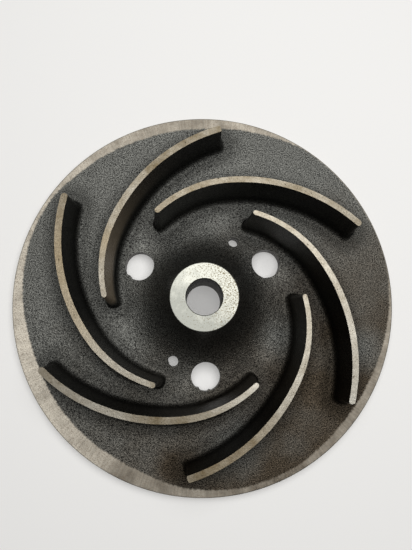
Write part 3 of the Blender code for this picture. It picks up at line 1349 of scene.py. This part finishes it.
def make_vanes(ceiling: float) -> list[Vane]:
    """Makes the six vanes, each with what sets it apart from the others.

    Args:
        ceiling: The height that no vane rises above.

    Returns:
        The vanes, in order round the shaft.
    """
    return [
        Vane(
            0, ceiling, nose_degrees=192.4, end_degrees=106.8, nose_shift=0.6 * MM, tail_shift=0.8 * MM,
            nose_thickness=3.5 * MM, thickness=4.7 * MM, nose_length=55.0 * MM, tail_roundness=0.3,
            ground=((0.0, 0.29), (0.2, -0.05), (0.45, -0.09), (0.63, -0.43)), rusty_nose=0.72,
            tanned=((0.12, 0.0), (0.24, 0.4), (0.34, 0.0)),
        ),
        Vane(
            1, ceiling, nose_degrees=192.3, end_degrees=108.0, nose_shift=0.3 * MM, tail_shift=0.5 * MM,
            nose_thickness=3.9 * MM, thickness=4.3 * MM, nose_length=40.0 * MM,
            ground=((0.0, -0.47), (0.5, -0.29), (1.0, -0.26)),
        ),
        Vane(
            2, ceiling, nose_degrees=192.6, end_degrees=106.5, nose_shift=-0.2 * MM, tail_shift=1.2 * MM,
            nose_thickness=3.3 * MM, thickness=4.4 * MM,
            ground=(
                (0.14, 0.1), (0.23, 0.03), (0.38, 0.53), (0.53, 0.29), (0.68, 0.93), (0.83, 0.53),
                (1.0, 1.43),
            ),
        ),
        Vane(
            3, ceiling, nose_degrees=193.3, end_degrees=106.6, tail_shift=0.6 * MM, nose_thickness=3.3 * MM,
            tail_roundness=0.3,
            ground=(
                (0.0, 0.27), (0.14, 0.31), (0.28, 0.46), (0.43, 0.62), (0.53, 0.29), (0.68, -0.2),
                (1.0, -0.45),
            ),
            tanned=((0.5, 0.0), (0.65, 0.2), (0.9, 0.35), (1.0, 0.1)),
        ),
        Vane(
            4, ceiling, nose_degrees=192.8, end_degrees=106.0, nose_shift=0.7 * MM, tail_shift=-0.3 * MM,
            nose_thickness=3.7 * MM, nose_length=65.0 * MM,
            ground=(
                (0.0, 0.82), (0.14, 0.36), (0.28, -0.34), (0.43, -0.68), (0.53, -0.14), (0.68, 0.58),
                (1.0, -0.26),
            ),
        ),
        Vane(
            5, ceiling, nose_degrees=192.3, end_degrees=106.0, nose_shift=0.9 * MM, tail_shift=0.4 * MM,
            nose_thickness=3.8 * MM, thickness=4.9 * MM, nose_length=60.0 * MM,
            ground=(
                (0.0, -0.05), (0.14, 0.51), (0.28, 0.75), (0.43, 0.6), (0.6, 0.5), (0.88, 0.15), (1.0, -0.45),
            ),
            tanned=((0.15, 0.0), (0.4, 0.35), (0.72, 0.55), (0.9, 0.35), (1.0, 0.15)),
        ),
    ]


def make_holes() -> list[PlateHole]:
    """Makes the holes through the plate: three balance holes and two small ones.

    Returns:
        The holes, each with the lips and nicks in its edge.
    """
    # Distance from the shaft in millimetres, angle in degrees, radius in millimetres and points round it.
    # Then for each flaw its angle in degrees, and its height and width in millimetres.
    table = (
        (53.9, 30.0, 10.65, 120, ((260.0, -0.4, 1.6),)),
        (53.7, 150.0, 10.7, 120, ((224.5, 0.9, 1.3), (203.0, -0.5, 1.4), (188.0, -0.4, 1.0))),
        (54.9, 270.5, 10.6, 120, ((235.0, 1.1, 1.3), (283.0, 0.9, 1.1))),
        (49.0, 62.0, 3.7, 40, ()),
        (49.0, 242.0, 3.8, 40, ((150.0, -0.5, 1.2), (195.0, 0.4, 1.0))),
    )
    return [
        PlateHole(pitch * MM, math.radians(angle), radius * MM, steps, tuple(
            Flaw(math.radians(at), height * MM, width * MM) for at, height, width in flaws
        ))
        for pitch, angle, radius, steps, flaws in table
    ]


def make_blotches() -> list[Blotch]:
    """Makes the blotches on the plate.

    Returns:
        The blotches, in the order in which they are added up.
    """
    # Angle in degrees, distance from the shaft and reach in millimetres, and how much browner; the
    # spots partly paint light and shade on the plate.
    table = (
        (258, 118, 24, 0.2), (282, 106, 36, -0.35), (300, 124, 20, -0.15), (322, 104, 30, 0.1),
        (342, 122, 25, -0.35), (345, 92, 22, 0.15), (12, 105, 38, 0.1), (335, 62, 26, -0.3),
    )
    return [Blotch(math.radians(angle), at * MM, reach * MM, browner) for angle, at, reach, browner in table]


def main() -> None:
    """Builds the casting and its studio, in order."""
    logging.basicConfig(level=logging.INFO, format="%(name)s: %(message)s")
    low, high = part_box(NODE)
    plate = Plate(rim_radius=(high[0] - low[0]) / 2)
    impeller = Impeller(Hub(), plate, make_holes(), make_vanes(high[2]), make_blotches())
    casting = impeller.build()
    impeller.dress(casting)
    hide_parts(NODE)
    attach(casting, BODY)
    studio = Studio()
    studio.build_floor()
    studio.build_light()
    studio.build_camera()


if __name__ == "__main__":
    main()
